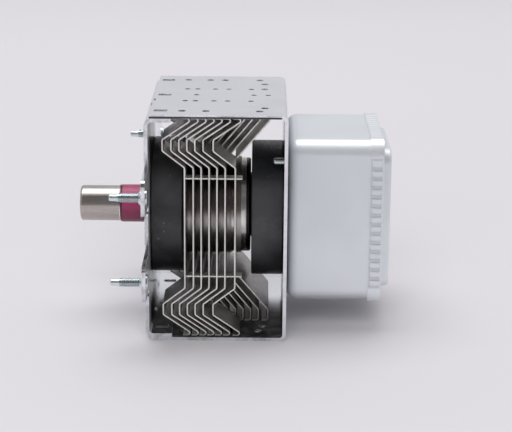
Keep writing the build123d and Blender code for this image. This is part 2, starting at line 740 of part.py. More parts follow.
def make_filter_box_lid():
    """Pressed lid with a proud panel and a skirt crimped in ribs round the box's mouth."""
    grow = LID_GAP + LID_SHEET
    skirt_depth = BOX_DEPTH + 2 * grow
    skirt_height = BOX_HEIGHT + 2 * grow
    skirt_start = lid_face - LID_SKIRT
    corner = BOX_CORNER + grow
    lid = rounded_block(skirt_start, LID_SKIRT, skirt_depth, skirt_height, corner)
    lid -= rounded_block(
        skirt_start - CUT_MARGIN,
        box_mouth - skirt_start + CUT_MARGIN,
        skirt_depth - 2 * LID_SHEET,
        skirt_height - 2 * LID_SHEET,
        corner - LID_SHEET,
    )
    panel_depth = BOX_DEPTH - 2 * LID_PANEL_INSET
    panel_height = BOX_HEIGHT - 2 * LID_PANEL_INSET
    panel = across(lid_face) * RectangleRounded(panel_depth, panel_height, LID_PANEL_CORNER)
    raised = extrude(panel, amount=LID_PANEL_HEIGHT, taper=LID_PANEL_DRAFT)
    raised = fillet(raised.faces().sort_by(Axis.X)[-1].edges(), LID_PANEL_EDGE)
    hollow_section = RectangleRounded(
        panel_depth - 2 * LID_SHEET,
        panel_height - 2 * LID_SHEET,
        LID_PANEL_CORNER - LID_SHEET,
    )
    hollow = extrude(across(box_mouth) * hollow_section, amount=LID_PANEL_HEIGHT, taper=LID_PANEL_DRAFT)
    lid = lid + raised - hollow
    rib_length = LID_SKIRT - 2 * RIB_MARGIN
    for turn, reach, along in rib_places(skirt_depth, skirt_height):
        rib = Box(
            rib_length,
            RIB_HEIGHT + LID_SHEET / 2,
            RIB_WIDTH,
            align=(Align.MIN, Align.MIN, Align.CENTER),
        )
        lid += Rot(X=turn) * Pos(skirt_start + RIB_MARGIN, reach - LID_SHEET / 2, along) * rib
    return lid


def make_box_rivets():
    """Two rivets through the box's floor and the yoke's base, on one diagonal."""
    floor = base_outer + BOX_SHEET
    outline = [
        (base_inner - RIVET_TAIL, 0),
        (base_inner - RIVET_TAIL, RIVET_RADIUS),
        (floor, RIVET_RADIUS),
        (floor, RIVET_HEAD_RADIUS),
        (floor + RIVET_HEAD_HEIGHT, RIVET_HEAD_RADIUS),
        (floor + RIVET_HEAD_HEIGHT, 0),
    ]
    tail = (base_inner - RIVET_TAIL, RIVET_RADIUS)
    rivet = turned(outline, [(tail, RIVET_TAIL_EDGE)], fillet)
    return [Pos(0, place.position.X, place.position.Y) * rivet for place in rivet_places]


def blade_block(side, low_y, high_y):
    """Flat bar of a blade terminal's section."""
    section = Rectangle(BLADE_WIDTH, BLADE_SHEET)
    plane = Plane.XZ.offset(-high_y)
    return extrude(plane * Pos(capacitor_x, side * BLADE_SPACING / 2) * section, amount=high_y - low_y)


def make_capacitor_body():
    """Moulded body through the box's wall, with a well round the two blades."""
    outer_end = box_far + CAPACITOR_OUTSIDE
    body = capacitor_block(box_far - CAPACITOR_INSIDE, outer_end, 0.0)
    well = capacitor_block(outer_end - CAPACITOR_WELL_DEPTH, outer_end, -CAPACITOR_WELL_WALL)
    middle_wall = Pos(capacitor_x, outer_end - CAPACITOR_WELL_DEPTH / 2, 0) * Box(
        CAPACITOR_WIDTH, CAPACITOR_WELL_DEPTH, CAPACITOR_WELL_WALL
    )
    body = body - (well - middle_wall)
    for side in (-1, 1):
        body -= blade_block(side, box_far - CAPACITOR_INSIDE, outer_end)
    return body


def make_capacitor_plate():
    """Steel plate that holds the capacitor to the box's far wall."""
    plane = Plane.XZ.offset(-box_far - CAPACITOR_PLATE_SHEET)
    section = RectangleRounded(CAPACITOR_PLATE_WIDTH, CAPACITOR_PLATE_HEIGHT, CAPACITOR_CORNER)
    plate = extrude(plane * Pos(capacitor_x, 0) * section, amount=CAPACITOR_PLATE_SHEET)
    plate_outer = box_far + CAPACITOR_PLATE_SHEET
    plate -= capacitor_block(box_far - CUT_MARGIN, plate_outer + CUT_MARGIN, CAPACITOR_GAP)
    return plate - capacitor_rivet_bars(RIVET_RADIUS + RIVET_HOLE_GAP)


def make_capacitor_rivets():
    """Two rivets through the plate and the wall, headed on both sides."""
    outer = box_far + CAPACITOR_PLATE_SHEET
    inner = box_far - BOX_SHEET
    rivets = capacitor_rivet_bars(RIVET_RADIUS)
    for y in (outer + RIVET_HEAD_HEIGHT, inner):
        heads = Plane.XZ.offset(-y) * pattern(capacitor_rivet_places, Circle(RIVET_HEAD_RADIUS))
        rivets += extrude(heads, amount=RIVET_HEAD_HEIGHT)
    return rivets


def make_blade(side):
    """Blade terminal that a push-on connector slides over."""
    outer_end = box_far + CAPACITOR_OUTSIDE + BLADE_OUTSIDE
    blade = blade_block(side, blade_inner_end, outer_end)
    tip = blade.faces().sort_by(Axis.Y)[-1].edges().filter_by(Axis.Z)
    hole_place = Pos(capacitor_x, outer_end - BLADE_HOLE_INSET, side * BLADE_SPACING / 2)
    return chamfer(tip, BLADE_TIP_BEVEL) - hole_place * Cylinder(BLADE_HOLE_RADIUS, 2 * BLADE_SHEET)


def coil_axis(side):
    """Frame of a choke coil: its X axis is the coil's, along the part's Y."""
    return Pos(capacitor_x, COIL_MIDDLE_Y, side * COIL_HEIGHT) * Rot(Z=90)


def make_choke_core(side):
    """Ferrite rod inside a choke coil."""
    return coil_axis(side) * rod(-CORE_LENGTH / 2, CORE_LENGTH, CORE_RADIUS)


def wound_sleeve(length, pitch, inner, wire):
    """Close-wound wire about the X axis, as a sleeve with one ridge for each turn."""
    outline = [(0, inner), (0, inner + wire / 2)]
    turns = round(length / pitch)
    for turn in range(turns):
        start = turn * pitch
        outline += [(start + pitch / 4, inner + wire), (start + 3 * pitch / 4, inner + wire)]
        outline += [(start + pitch, inner + wire / 2)]
    return turned(outline + [(turns * pitch, inner)])


def wire_run(start, end):
    """Straight length of coil wire between two points."""
    line = Line(start, end)
    section = Plane(origin=start, z_dir=line % 0) * Circle(COIL_WIRE / 2)
    return extrude(section, amount=line.length)


def make_choke_coil(side):
    """Close coil of enamelled wire on its core, with both ends led off to the terminals."""
    length = COIL_PITCH * COIL_TURNS
    inner = CORE_RADIUS + COIL_GAP
    coil = coil_axis(side) * Pos(-length / 2, 0, 0) * wound_sleeve(length, COIL_PITCH, inner, COIL_WIRE)
    turn_z = side * (COIL_HEIGHT - inner - COIL_WIRE / 2)
    near_turn = (capacitor_x, COIL_MIDDLE_Y - (length - COIL_PITCH) / 2, turn_z)
    far_turn = (capacitor_x, COIL_MIDDLE_Y + (length - COIL_PITCH) / 2, turn_z)
    on_tab = stem_tab_height(side) + side * (STEM_TERMINAL_SHEET + COIL_WIRE) / 2
    on_blade = side * (BLADE_SPACING + BLADE_SHEET + COIL_WIRE) / 2
    coil += wire_run(near_turn, (stem_end + STEM_TERMINAL_HEIGHT - COIL_WIRE, 0, on_tab))
    coil += wire_run(far_turn, (capacitor_x, blade_inner_end + COIL_WIRE, on_blade))
    return coil


def export_nodes():
    """Builds every piece and writes it to its own file."""
    nodes = {
        "yoke_frame": make_yoke_frame(),
        "mounting_flange": make_mounting_flange(),
        "mounting_studs": make_mounting_studs(),
        "magnet_output": make_magnet(magnet_output_x, 0.0),
        "magnet_input": make_magnet(tube_end, INPUT_MAGNET_DROP),
        "anode_cylinder": make_anode_cylinder(),
        "pole_piece_output": make_pole_piece(-1),
        "pole_piece_input": make_pole_piece(1),
        "seal_output": make_seal(-1, output_neck_length),
        "seal_input": make_seal(1, input_neck_length),
        "output_ceramic": make_output_ceramic(),
        "antenna_cap": make_antenna_cap(),
        "exhaust_tube": make_exhaust_tube(),
        "antenna_lead": make_antenna_lead(),
        "filament": make_filament(),
        "end_hat_output": make_end_hat(-1),
        "end_hat_input": make_end_hat(1),
        "cathode_centre_lead": make_centre_lead(),
        "cathode_side_lead": make_side_lead(),
        "stem_ceramic": make_stem_ceramic(),
        "stem_terminal_1": make_stem_terminal(1),
        "stem_terminal_2": make_stem_terminal(-1),
        "rf_gasket": make_rf_gasket(),
        "filter_box": make_filter_box(),
        "filter_box_lid": make_filter_box_lid(),
        "box_rivets": make_box_rivets(),
        "capacitor_body": make_capacitor_body(),
        "capacitor_plate": make_capacitor_plate(),
        "capacitor_rivets": make_capacitor_rivets(),
        "blade_terminal_1": make_blade(1),
        "blade_terminal_2": make_blade(-1),
        "choke_core_1": make_choke_core(1),
        "choke_core_2": make_choke_core(-1),
        "choke_coil_1": make_choke_coil(1),
        "choke_coil_2": make_choke_coil(-1),
    }
    fin_x = tube_start + FIN_START
    for number, pitch in enumerate(FIN_PITCHES + (FIN_LAST_TAB + FIN_SHEET / 2,), start=1):
        nodes[f"cooling_fin_{number}"] = make_cooling_fin(fin_x, pitch - FIN_SHEET / 2)
        fin_x += pitch
    for index in range(VANE_COUNT):
        nodes[f"anode_vane_{index + 1:02d}"] = make_vane(index)
    for end, end_name in ((-1, "output"), (1, "input")):
        nodes[f"inner_strap_{end_name}"] = make_strap(end, INNER_STRAP_RADIUS)
        nodes[f"outer_strap_{end_name}"] = make_strap(end, OUTER_STRAP_RADIUS)
    os.makedirs("parts", exist_ok=True)
    for name, shape in nodes.items():
        solids = Compound(children=list(shape)) if isinstance(shape, list) else shape
        export_step(solids, f"parts/{name}.step")


export_nodes()
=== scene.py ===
import bmesh
import bpy
import json
import math
from mathutils import Matrix, Vector


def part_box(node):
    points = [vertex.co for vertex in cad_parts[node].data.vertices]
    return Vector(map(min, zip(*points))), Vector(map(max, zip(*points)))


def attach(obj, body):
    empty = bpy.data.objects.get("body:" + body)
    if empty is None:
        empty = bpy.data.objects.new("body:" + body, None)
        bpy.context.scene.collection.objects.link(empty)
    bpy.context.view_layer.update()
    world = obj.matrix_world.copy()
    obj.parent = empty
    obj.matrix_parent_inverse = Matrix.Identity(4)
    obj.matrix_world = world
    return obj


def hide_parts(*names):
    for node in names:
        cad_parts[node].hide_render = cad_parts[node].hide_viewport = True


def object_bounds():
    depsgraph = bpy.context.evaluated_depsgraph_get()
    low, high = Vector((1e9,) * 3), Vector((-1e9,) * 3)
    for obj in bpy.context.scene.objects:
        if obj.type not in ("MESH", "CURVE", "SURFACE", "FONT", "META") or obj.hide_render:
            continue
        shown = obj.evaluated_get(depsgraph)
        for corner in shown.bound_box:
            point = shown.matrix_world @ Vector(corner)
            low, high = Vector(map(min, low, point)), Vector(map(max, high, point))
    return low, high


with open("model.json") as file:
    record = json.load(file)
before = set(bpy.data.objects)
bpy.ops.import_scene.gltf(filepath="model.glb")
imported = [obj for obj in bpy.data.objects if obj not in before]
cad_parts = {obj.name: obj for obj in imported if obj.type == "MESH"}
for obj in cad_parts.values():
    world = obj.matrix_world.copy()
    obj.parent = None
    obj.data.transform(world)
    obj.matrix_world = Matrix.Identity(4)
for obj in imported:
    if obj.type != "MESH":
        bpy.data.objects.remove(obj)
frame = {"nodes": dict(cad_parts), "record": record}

cad_low, cad_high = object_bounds()

# Sizes here are in metres. MM turns a size in millimetres into metres.
MM = 0.001

# Camera, as the photograph was taken: 512 pixels wide at a focal length of 1641 pixels
SENSOR_WIDTH = 36.0
LENS = 1641 / 512 * SENSOR_WIDTH
CAMERA_PLACE = (46.3 * MM, -676.5 * MM, 189.7 * MM)
CAMERA_PITCH = 16.08
CAMERA_YAW = 0.105
CAMERA_ROLL = 0.5

# Point near the middle of the part that every lamp is aimed at
LAMP_AIM = Vector((0.03, 0, 0))

# Faces that meet at less than this angle are shaded as one smooth surface
SMOOTH_ANGLE = math.radians(32)

# Sheets that the yoke and the flange are folded from
YOKE_SHEET = 1.4 * MM
FLANGE_SHEET = 1.6 * MM

# Studs: the length of their pilot points, and of the flare next to the ear
STUD_POINT = 3.2 * MM
STUD_FLARE = 1.1 * MM

# Pads of the lid's crimp: how far they stand out, and their pitch, with a groove at mid height
PAD_HEIGHT = 0.6 * MM
PAD_PITCH = 3.9 * MM

# Corners of the deep-drawn can: round its walls, and at its base as made and as softened here
CAN_CORNER = 6.2 * MM
CAN_BASE_MADE = 3.6 * MM
CAN_BASE_SOFT = 4.9 * MM


def put(tree, kind, settings=None, **inputs):
    """Adds a shader node. An input is a value or the socket that feeds it."""
    made = tree.nodes.new("ShaderNode" + kind)
    for name, value in (settings or {}).items():
        setattr(made, name, value)
    for name, value in inputs.items():
        socket = made.inputs[name.replace("_", " ")]
        if isinstance(value, bpy.types.NodeSocket):
            tree.links.new(value, socket)
        else:
            socket.default_value = value
    return made


def calc(tree, operation, *values):
    """Adds a math node and returns its result."""
    made = tree.nodes.new("ShaderNodeMath")
    made.operation = operation
    for socket, value in zip(made.inputs, values):
        if isinstance(value, bpy.types.NodeSocket):
            tree.links.new(value, socket)
        else:
            socket.default_value = value
    return made.outputs[0]


def spread(tree, value, low, high, to_low, to_high):
    """Maps a value's range low to high onto another, smoothly and without overshoot."""
    made = put(tree, "MapRange", {"interpolation_type": "SMOOTHSTEP"}, Value=value)
    for name, number in (("From Min", low), ("From Max", high), ("To Min", to_low), ("To Max", to_high)):
        made.inputs[name].default_value = number
    return made.outputs["Result"]


def mixed(tree, factor, first, second):
    """Mixes two colours by a mask."""
    made = tree.nodes.new("ShaderNodeMix")
    made.data_type = "RGBA"
    for index, value in ((0, factor), (6, first), (7, second)):
        socket = made.inputs[index]
        if isinstance(value, bpy.types.NodeSocket):
            tree.links.new(value, socket)
        elif index == 0:
            socket.default_value = value
        else:
            socket.default_value = (*value, 1.0)
    return made.outputs[2]


def start_group(name, inputs, outputs):
    """Makes a node group with float inputs and the named outputs; returns its tree and both ends."""
    tree = bpy.data.node_groups.new(name, "ShaderNodeTree")
    for label, value in inputs:
        socket = tree.interface.new_socket(label, in_out="INPUT", socket_type="NodeSocketFloat")
        socket.default_value = value
    for label, kind in outputs:
        tree.interface.new_socket(label, in_out="OUTPUT", socket_type=kind)
    return tree, tree.nodes.new("NodeGroupInput").outputs, tree.nodes.new("NodeGroupOutput").inputs


def object_place(tree):
    """Place on the piece, in metres, that every pattern reads."""
    return put(tree, "TexCoord").outputs["Object"]


def place_along(tree):
    """Place on the piece along X, Y and Z, each a socket of its own."""
    return put(tree, "SeparateXYZ", Vector=object_place(tree)).outputs


def facing_along(tree):
    """Direction that a face looks in, along X, Y and Z, each a socket of its own."""
    return put(tree, "SeparateXYZ", Vector=put(tree, "TexCoord").outputs["Normal"]).outputs


def product(tree, first, *others):
    """Multiplies masks or values with one another."""
    result = first
    for other in others:
        result = calc(tree, "MULTIPLY", result, other)
    return result


def off_axis(tree, first, second):
    """Distance from an axis, given the two places across it."""
    squares = calc(tree, "MULTIPLY_ADD", first, first, calc(tree, "MULTIPLY", second, second))
    return calc(tree, "SQRT", squares)


def shade(colour, factor):
    """A colour made darker or lighter by a factor, up to full white."""
    return tuple(min(1.0, factor * c) for c in colour)


def make_grain_group():
    """Fine isotropic grain: the grit of a pressed or plated surface."""
    tree, given, out = start_group("surface_grain", [("Scale", 900.0)], [("Grain", "NodeSocketFloat")])
    noise = put(
        tree, "TexNoise", Vector=object_place(tree), Scale=given["Scale"], Detail=4.0, Roughness=0.6,
    )
    tree.links.new(spread(tree, noise.outputs["Fac"], 0.3, 0.7, 0.0, 1.0), out["Grain"])
    return tree


def make_mottle_group():
    """Broad soft patches: handling, oil film and uneven plating."""
    tree, given, out = start_group("soft_mottle", [("Scale", 60.0)], [("Patch", "NodeSocketFloat")])
    noise = put(
        tree, "TexNoise", Vector=object_place(tree), Scale=given["Scale"], Detail=2.0, Distortion=0.6,
    )
    tree.links.new(spread(tree, noise.outputs["Fac"], 0.35, 0.68, 0.0, 1.0), out["Patch"])
    return tree


def make_brushed_group():
    """Long fine streaks across one axis, such as rolling or turning leaves."""
    inputs = [("Along X", 20.0), ("Along Y", 900.0), ("Along Z", 900.0)]
    tree, given, out = start_group("drawn_streaks", inputs, [("Streak", "NodeSocketFloat")])
    stretch = put(tree, "CombineXYZ", X=given["Along X"], Y=given["Along Y"], Z=given["Along Z"])
    place = put(tree, "VectorMath", {"operation": "MULTIPLY"})
    tree.links.new(object_place(tree), place.inputs[0])
    tree.links.new(stretch.outputs[0], place.inputs[1])
    noise = put(tree, "TexNoise", Vector=place.outputs[0], Scale=1.0, Detail=3.0, Roughness=0.55)
    tree.links.new(spread(tree, noise.outputs["Fac"], 0.3, 0.7, 0.0, 1.0), out["Streak"])
    return tree


def make_edge_group():
    """Mask of the edges, broken up by noise, where handling has polished the metal."""
    inputs = [("Radius", 0.0004), ("Break Up", 700.0)]
    tree, given, out = start_group("edge_wear", inputs, [("Edge", "NodeSocketFloat")])
    rounded = put(tree, "Bevel", {"samples": 4}, Radius=given["Radius"])
    flat = put(tree, "NewGeometry").outputs["Normal"]
    dot = put(tree, "VectorMath", {"operation": "DOT_PRODUCT"})
    tree.links.new(rounded.outputs[0], dot.inputs[0])
    tree.links.new(flat, dot.inputs[1])
    bend = calc(tree, "SUBTRACT", 1.0, dot.outputs["Value"])
    noise = put(tree, "TexNoise", Vector=object_place(tree), Scale=given["Break Up"], Detail=3.0)
    broken = calc(tree, "MULTIPLY", bend, spread(tree, noise.outputs["Fac"], 0.35, 0.6, 0.3, 1.0))
    tree.links.new(spread(tree, broken, 0.02, 0.16, 0.0, 1.0), out["Edge"])
    return tree


def make_speck_group():
    """Sparse small specks, such as dust, chips and pin marks."""
    inputs = [("Scale", 500.0), ("Amount", 0.1)]
    tree, given, out = start_group("small_specks", inputs, [("Speck", "NodeSocketFloat")])
    cells = put(tree, "TexVoronoi", Vector=object_place(tree), Scale=given["Scale"])
    pick = put(tree, "SeparateColor", Color=cells.outputs["Color"]).outputs[0]
    chosen = calc(tree, "LESS_THAN", pick, given["Amount"])
    near = spread(tree, cells.outputs["Distance"], 0.12, 0.3, 1.0, 0.0)
    tree.links.new(calc(tree, "MULTIPLY", chosen, near), out["Speck"])
    return tree


GROUPS = {
    "grain": make_grain_group(),
    "mottle": make_mottle_group(),
    "streaks": make_brushed_group(),
    "edge": make_edge_group(),
    "specks": make_speck_group(),
}


def effect(tree, group, **inputs):
    """Places a shared effect in a material and returns its one output."""
    made = tree.nodes.new("ShaderNodeGroup")
    made.node_tree = GROUPS[group]
    for name, value in inputs.items():
        made.inputs[name.replace("_", " ")].default_value = value
    return made.outputs[0]


def start_material(name, **constants):
    """Makes a material; returns it, its tree and its shader, with the constants set on the shader."""
    material = bpy.data.materials.new(name)
    material.use_nodes = True
    shader = material.node_tree.nodes["Principled BSDF"]
    for label, value in constants.items():
        shader.inputs[label.replace("_", " ")].default_value = value
    return material, material.node_tree, shader


def vary_roughness(tree, shader, mask, least, most):
    """Lets a mask spread the shader's roughness between two values."""
    tree.links.new(spread(tree, mask, 0, 1, least, most), shader.inputs["Roughness"])


def bump(tree, shader, height, strength, distance):
    """Feeds a height to the shader's normal."""
    made = put(tree, "Bump", Height=height, Strength=strength, Distance=distance)
    tree.links.new(made.outputs[0], shader.inputs["Normal"])


def make_can_steel(name, clean, dull, roughness, grain_scale, patch_scale):
    """Satin plated can: faintly mottled, greyer on top as painted shade, with painted shade in its
    crevices, in its pad grooves and underneath.
    """
    material, tree, shader = start_material(name, Metallic=0.7)
    patch = effect(tree, "mottle", Scale=patch_scale)
    grain = effect(tree, "grain", Scale=grain_scale)
    edge = effect(tree, "edge", Radius=0.3 * MM)
    # Painted shade: faces that look up are made greyer in colour.
    upward = spread(tree, facing_along(tree)["Z"], 0.9, 1.0, 0.0, 1.0)
    base = mixed(tree, patch, clean, dull)
    bright = mixed(tree, edge, base, shade(clean, 1.12))
    topped = mixed(tree, upward, bright, shade(dull, 0.83))
    # Painted shade: the lid's pad grooves, the can's edge at the yoke and its underside are darkened in
    # colour.
    groove_and_crevice_shade = calc(tree, "MAXIMUM", crimp_groove_shade(tree), can_crevice_shade(tree))
    tree.links.new(mixed(tree, groove_and_crevice_shade, topped, shade(dull, 0.42)), shader.inputs["Base Color"])
    patchy = spread(tree, patch, 0, 1, roughness - 0.04, roughness + 0.05)
    rough = calc(tree, "ADD", patchy, calc(tree, "MULTIPLY", grain, 0.06))
    tree.links.new(rough, shader.inputs["Roughness"])
    bump(tree, shader, grain, 0.12, 0.02 * MM)
    return material


def crimp_groove_shade(tree):
    """Soft mask of painted shade in the grooves between the pads on the long sides of the lid's crimp,
    which also rises and falls over each pad.
    """
    low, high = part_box("filter_box_lid")
    place = place_along(tree)
    depth = calc(tree, "SUBTRACT", high.y, calc(tree, "ABSOLUTE", place["Y"]))
    sunken = spread(tree, depth, 0.02 * MM, PAD_HEIGHT - 0.02 * MM, 0.0, 0.15)
    shaded_from = calc(tree, "SUBTRACT", place["Z"], 0.3 * MM)
    wave = calc(tree, "COSINE", calc(tree, "MULTIPLY", shaded_from, math.tau / PAD_PITCH))
    shaded = calc(tree, "ADD", sunken, spread(tree, wave, -0.8, 1.0, 0.0, 0.16))
    in_skirt = spread(tree, depth, PAD_HEIGHT + 0.15 * MM, PAD_HEIGHT + 0.25 * MM, 1.0, 0.0)
    past_rim = calc(tree, "GREATER_THAN", place["X"], low.x + 0.02 * MM)
    before_bend = spread(tree, place["X"], low.x + 4.5 * MM, low.x + 5.0 * MM, 1.0, 0.0)
    height = calc(tree, "ABSOLUTE", place["Z"])
    off_corner = spread(tree, height, high.z - 8.2 * MM, high.z - 7.6 * MM, 1.0, 0.0)
    return product(tree, shaded, in_skirt, past_rim, before_bend, off_corner)


def can_crevice_shade(tree):
    """Mask of painted shade on the can's rounded edge, where it meets the yoke, and on its underside."""
    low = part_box("filter_box")[0]
    lid_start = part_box("filter_box_lid")[0].x
    place = place_along(tree)
    can_only = calc(tree, "LESS_THAN", place["X"], lid_start - 0.2 * MM)
    under = spread(tree, place["Z"], low.z, low.z + CAN_CORNER + 0.3 * MM, 0.62, 0.0)
    at_yoke = spread(tree, place["X"], low.x, low.x + CAN_BASE_MADE + 0.2 * MM, 0.8, 0.0)
    return calc(tree, "MAXIMUM", product(tree, can_only, under), at_yoke)


def make_heat_shaded_copper(name, clean, dull, heat_and_shade_tint, roughness):
    """Turned, plated copper whose upper half carries a heat tint, darker between the fins as painted shade.
    """
    material, tree, shader = start_material(name, Metallic=1.0)
    streak = effect(tree, "streaks", Along_X=700.0, Along_Y=60.0, Along_Z=60.0)
    patch = effect(tree, "mottle", Scale=80.0)
    place = place_along(tree)
    cloudy_height = calc(tree, "MULTIPLY_ADD", patch, 3 * MM, place["Z"])
    above = spread(tree, cloudy_height, -2 * MM, 4 * MM, 0.0, 1.0)
    last_fin = 37.4 * MM
    # Painted shade: the tint is full between the fins and weaker past the last fin.
    between_fins = spread(tree, place["X"], last_fin, last_fin + 1.0 * MM, 1.0, 0.3)
    base = mixed(tree, calc(tree, "MULTIPLY", streak, 0.5), clean, dull)
    heat_and_shade = mixed(tree, product(tree, above, between_fins), base, heat_and_shade_tint)
    tree.links.new(heat_and_shade, shader.inputs["Base Color"])
    vary_roughness(tree, shader, streak, roughness - 0.05, roughness + 0.08)
    bump(tree, shader, streak, 0.12, 0.01 * MM)
    return material


def make_galvanised_sheet(name, clean, dull, cut, roughness):
    """Bright galvanised sheet with painted shade on its inner faces, and sheared edges coloured dark in the
    top wall.
    """
    material, tree, shader = start_material(name, Specular_IOR_Level=0.1)
    patch = effect(tree, "mottle", Scale=38.0)
    grain = effect(tree, "grain", Scale=1500.0)
    dark_edge_half = sheared_edge(tree)
    edge = effect(tree, "edge", Radius=0.3 * MM)
    inner = inner_side(tree)
    # Painted shade: inner faces are coloured dark, fading to black low down.
    low_down = spread(tree, place_along(tree)["Z"], -44 * MM, -30 * MM, 0.5, 0.0)
    margin = plate_margin(tree)
    inner_shade_patch = effect(tree, "mottle", Scale=150.0)
    inner_shade = mixed(tree, inner_shade_patch, shade(dull, 0.03), shade(dull, 0.14))
    inner_shade = mixed(tree, low_down, inner_shade, (0.0, 0.0, 0.0))
    base = mixed(tree, inner, mixed(tree, patch, clean, dull), inner_shade)
    base = mixed(tree, margin, base, shade(dull, 0.62))
    base = mixed(tree, cut_face(tree), base, shade(dull, 0.38))
    bright = mixed(tree, edge, base, shade(clean, 1.15))
    tree.links.new(mixed(tree, dark_edge_half, bright, cut), shader.inputs["Base Color"])
    shineless = calc(tree, "MAXIMUM", calc(tree, "MULTIPLY", margin, 0.8), inner)
    tree.links.new(calc(tree, "SUBTRACT", 1.0, shineless), shader.inputs["Metallic"])
    rough = spread(tree, patch, 0, 1, roughness - 0.03, roughness + 0.05)
    for factors in ((grain, 0.04), (inner, low_down, 0.6), (dark_edge_half, 0.3)):
        rough = calc(tree, "ADD", rough, product(tree, *factors))
    tree.links.new(rough, shader.inputs["Roughness"])
    bump(tree, shader, calc(tree, "MULTIPLY_ADD", patch, 2.0, grain), 0.10, 0.02 * MM)
    return material


def inner_side(tree):
    """Mask of the folded sheets' inner faces, strongest at the open front, which carries their painted
    shade and duller finish.
    """
    facing, place = facing_along(tree), place_along(tree)
    middle = 20.0 * MM
    from_middle = calc(tree, "SUBTRACT", place["X"], middle)
    outward_x = calc(tree, "MULTIPLY", facing["X"], calc(tree, "SIGN", from_middle))
    outward_z = calc(tree, "MULTIPLY", facing["Z"], calc(tree, "SIGN", place["Z"]))
    inward = spread(tree, calc(tree, "MINIMUM", outward_z, outward_x), -0.7, -0.3, 1.0, 0.0)
    towards_front = spread(tree, place["Y"], -12.0 * MM, 16.0 * MM, 1.0, 0.0)
    return calc(tree, "MULTIPLY", inward, towards_front)


def plate_margin(tree):
    """Mask of the chalky strip on the flange plate's inner face, before the magnet."""
    facing, place = facing_along(tree), place_along(tree)
    magnet_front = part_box("magnet_output")[0].y
    faces_in = calc(tree, "GREATER_THAN", facing["X"], 0.5)
    on_plate = calc(tree, "LESS_THAN", place["X"], 1.5 * FLANGE_SHEET)
    at_front = spread(tree, place["Y"], magnet_front - 1.3 * MM, magnet_front + 0.7 * MM, 1.0, 0.0)
    return product(tree, faces_in, on_plate, at_front)


def cut_face(tree):
    """Mask of the worn patches on faces that the shear left, faint on the yoke's base."""
    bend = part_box("yoke_frame")[1].x - 2 * YOKE_SHEET
    noise = put(tree, "TexNoise", Vector=object_place(tree), Scale=260.0, Detail=4.0, Roughness=0.6)
    worn = spread(tree, noise.outputs["Fac"], 0.38, 0.62, 0.08, 0.58)
    off_base = spread(tree, place_along(tree)["X"], bend - 5.0 * MM, bend, 1.0, 0.3)
    return product(tree, sheared_face(tree), worn, off_base)


def sheared_face(tree):
    """Mask of the faces that look to either side along Y, which the shear cut."""
    return calc(tree, "GREATER_THAN", calc(tree, "ABSOLUTE", facing_along(tree)["Y"]), 0.75)


def sheared_edge(tree):
    """Mask of the inner half of the yoke's cut edges, as far as they are in the top wall, which the sheet
    colours dark and makes rougher.
    """
    place = place_along(tree)
    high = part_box("yoke_frame")[1]
    bend, inner, middle = high.x - 2 * YOKE_SHEET, high.z - YOKE_SHEET, high.z - YOKE_SHEET / 2
    above_face = spread(tree, place["Z"], inner - 0.1 * MM, inner + 0.1 * MM, 0.0, 1.0)
    below_burnish = spread(tree, place["Z"], middle, middle + 0.2 * MM, 1.0, 0.0)
    before_bend = spread(tree, place["X"], bend, bend + 0.3 * MM, 1.0, 0.0)
    return product(tree, sheared_face(tree), above_face, below_burnish, before_bend)


def make_streaked_metal(name, clean, dull, roughness, along=(20.0, 900.0, 900.0)):
    """Drawn or turned metal: fine streaks in colour, gloss and relief."""
    material, tree, shader = start_material(name, Metallic=1.0)
    streak = effect(tree, "streaks", Along_X=along[0], Along_Y=along[1], Along_Z=along[2])
    patch = effect(tree, "mottle", Scale=80.0)
    base = mixed(tree, calc(tree, "MULTIPLY", streak, 0.6), clean, dull)
    base = mixed(tree, calc(tree, "MULTIPLY", patch, 0.35), base, dull)
    tree.links.new(base, shader.inputs["Base Color"])
    vary_roughness(tree, shader, streak, roughness - 0.05, roughness + 0.08)
    bump(tree, shader, streak, 0.15, 0.01 * MM)
    return material


def make_fin_aluminium(name, clean, dull, brown_and_shade_tint, roughness):
    """Rolled fin sheet with a heat tint on its collars, and painted shade on its tails below, apart from
    their cut edges.
    """
    material, tree, shader = start_material(name, Metallic=0.88)
    streak = effect(tree, "streaks", Along_X=900.0, Along_Y=900.0, Along_Z=40.0)
    patch = effect(tree, "mottle", Scale=80.0)
    place = place_along(tree)
    radius = off_axis(tree, place["Y"], place["Z"])
    anode_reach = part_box("anode_cylinder")[1].y
    collar = spread(tree, radius, anode_reach + 0.9 * MM, anode_reach + 1.4 * MM, 1.0, 0.0)
    upper = spread(tree, place["Z"], -2 * MM, 3 * MM, 0.25, 1.0)
    uncut = calc(tree, "LESS_THAN", calc(tree, "ABSOLUTE", facing_along(tree)["Y"]), 0.5)
    # Painted shade: the tails below, apart from their cut edges, are darkened in colour.
    below = spread(tree, place["Z"], -24 * MM, -20 * MM, 1.0, 0.0)
    behind = spread(tree, place["X"], 34 * MM, 38 * MM, 0.0, 1.0)
    brown_and_shade = calc(tree, "MAXIMUM", product(tree, collar, upper), product(tree, below, behind, uncut, 0.8))
    base = mixed(tree, calc(tree, "MULTIPLY", streak, 0.6), clean, dull)
    base = mixed(tree, calc(tree, "MULTIPLY", patch, 0.35), base, dull)
    tree.links.new(mixed(tree, brown_and_shade, base, brown_and_shade_tint), shader.inputs["Base Color"])
    vary_roughness(tree, shader, streak, roughness - 0.05, roughness + 0.08)
    bump(tree, shader, streak, 0.15, 0.01 * MM)
    return material


